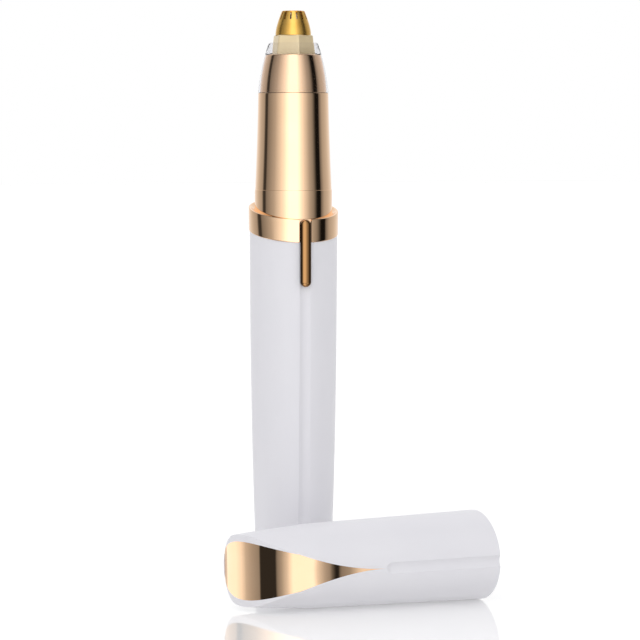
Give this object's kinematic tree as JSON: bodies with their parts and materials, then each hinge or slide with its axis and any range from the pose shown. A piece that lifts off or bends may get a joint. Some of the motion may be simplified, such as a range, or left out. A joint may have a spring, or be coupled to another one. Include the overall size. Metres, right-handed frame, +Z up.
{
  "type": "eyebrow razor",
  "caption": "Pen-shaped battery eyebrow razor with a fluted white handle, gold cone, slotted head, slide switch and a separate white cap with a gold inlay.",
  "frame": {"origin": "middle of the flat base that the razor stands on", "axes": "+Z up along the razor towards its head, -Y the front with the flute and the switch, +X the way the cap's mouth points"},
  "size_m": [0.057, 0.0497, 0.1281],
  "materials": {
    "white_plastic": "satin moulded",
    "gold_plated": "vacuum-metallised mirror",
    "clear_plastic": "polished",
    "cream_plastic": "satin moulded",
    "head_gold": "plated, polished",
    "inner_plastic": "moulded",
    "steel": "plain",
    "contact_metal": "nickel-plated",
    "bronze": "plain",
    "magnet": "pressed",
    "board": "coated",
    "lamp": "moulded",
    "cell": "plain film sleeve",
    "wire": "insulated"
  },
  "bodies": {
    "handle": {"handle_sleeve": "white_plastic"},
    "core": {"collar_ring": "gold_plated", "neck_band": "gold_plated", "cone_shell": "gold_plated", "light_ring": "clear_plastic", "cutter_seat": "inner_plastic", "motor_can": "steel", "motor_end_cap": "inner_plastic", "motor_terminals": "contact_metal", "motor_magnets": "magnet", "shaft_bushings": "bronze", "motor_leads": "wire", "chassis_front": "inner_plastic", "chassis_rear": "inner_plastic", "chassis_screws": "steel", "battery_cell": "cell", "contact_plate": "contact_metal", "contact_leaf": "contact_metal", "contact_strip": "contact_metal", "circuit_board": "board", "led_board": "board", "led": "lamp"},
    "switch": {"switch_bar": "gold_plated", "switch_slider": "inner_plastic", "switch_wiper": "contact_metal"},
    "rotor": {"motor_shaft": "steel", "armature": "steel", "commutator": "bronze", "drive_coupling": "inner_plastic", "cutter_hub": "inner_plastic", "cutter_blades": "steel"},
    "head": {"head_holder": "cream_plastic", "head_dome": "head_gold"},
    "cap": {"cap_shell": "white_plastic", "cap_inlay": "gold_plated"}
  },
  "joints": [
    {"name": "core_pull", "type": "slide", "parent": "handle", "child": "core", "axis": [0, 0, 1], "range_m": [0, 0.062]},
    {"name": "switch_slide", "type": "slide", "parent": "core", "child": "switch", "axis": [0, 0, 1], "range_m": [0, 0.0022]},
    {"name": "head_lift", "type": "slide", "parent": "core", "child": "head", "axis": [0, 0, 1], "range_m": [0, 0.014]},
    {"name": "cutter_spin", "type": "hinge", "parent": "core", "child": "rotor", "pos_m": [0, 0, 0.1], "axis": [0, 0, 1], "continuous": true},
    {"name": "cap_slide", "type": "slide", "parent": "handle", "child": "cap", "axis": [0, -1, 0], "range_m": [0, 0.05]}
  ]
}
